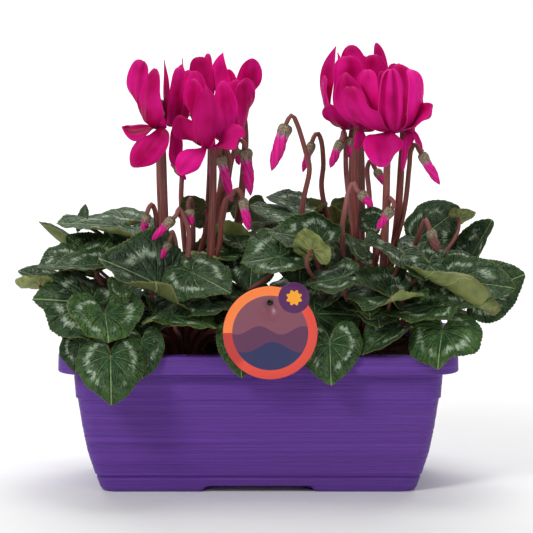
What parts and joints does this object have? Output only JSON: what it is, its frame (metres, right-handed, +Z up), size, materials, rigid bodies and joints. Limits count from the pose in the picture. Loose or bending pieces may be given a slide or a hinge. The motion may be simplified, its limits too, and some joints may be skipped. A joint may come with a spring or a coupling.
{
  "type": "potted cyclamen",
  "caption": "Flowering cyclamens with silver-banded heart-shaped leaves in a rectangular balcony trough with a skirted rim, feet and a round tag card in front.",
  "frame": {"origin": "on the ground under the middle of the whole plant and trough, between the feet", "axes": "+Z up, +X along the trough to the right as seen from the tag's side, -Y towards the viewer of the tag"},
  "size_m": [0.3928, 0.2075, 0.3395],
  "materials": {
    "trough": "satin",
    "soil": "matte",
    "tag-card": "satin",
    "tag-stake": "matte",
    "stem": "satin",
    "petal": "satin",
    "leaf": "satin"
  },
  "bodies": {
    "root": {"trough": "trough", "soil": "soil", "tag-card": "tag-card", "tag-stake": "tag-stake", "left-plant-stems-and-buds": "stem", "right-plant-stems-and-buds": "stem", "bloom-left-1": "petal", "bloom-left-2": "petal", "bloom-left-3": "petal", "bloom-left-4": "petal", "bloom-left-5": "petal", "bloom-left-6": "petal", "bloom-right-1": "petal", "bloom-right-2": "petal", "bloom-right-3": "petal", "bloom-right-4": "petal", "bloom-right-5": "petal", "leaf-back-centre": "leaf", "leaf-back-right": "leaf", "leaf-back-upper-left": "leaf", "leaf-behind-large-right": "leaf", "leaf-behind-tag": "leaf", "leaf-below-tag-left": "leaf", "leaf-beside-dark-left": "leaf", "leaf-curled-centre": "leaf", "leaf-dark-left": "leaf", "leaf-dark-low-right": "leaf", "leaf-flat-front-left": "leaf", "leaf-flat-left": "leaf", "leaf-flat-low-right": "leaf", "leaf-folded-centre-right": "leaf", "leaf-folded-far-left": "leaf", "leaf-front-left": "leaf", "leaf-hanging-centre-right": "leaf", "leaf-hanging-inner-left": "leaf", "leaf-hanging-outer-left": "leaf", "leaf-hanging-outer-right": "leaf", "leaf-large-left": "leaf", "leaf-large-right": "leaf", "leaf-left-of-centre": "leaf", "leaf-lobe-over-centre": "leaf", "leaf-long-centre-right": "leaf", "leaf-long-upper-left": "leaf", "leaf-pale-tip-far-left": "leaf", "leaf-pale-under-centre": "leaf", "leaf-pale-under-right": "leaf", "leaf-pointed-far-left": "leaf", "leaf-pointed-far-right": "leaf", "leaf-rear-left-1": "leaf", "leaf-rear-left-2": "leaf", "leaf-rear-left-3": "leaf", "leaf-rear-right-1": "leaf", "leaf-rear-right-2": "leaf", "leaf-rear-right-3": "leaf", "leaf-round-left": "leaf", "leaf-silver-centre-right": "leaf", "leaf-small-low-centre": "leaf", "leaf-two-lobed-centre": "leaf", "leaf-two-lobed-right": "leaf", "leaf-upper-right": "leaf"}
  },
  "joints": []
}
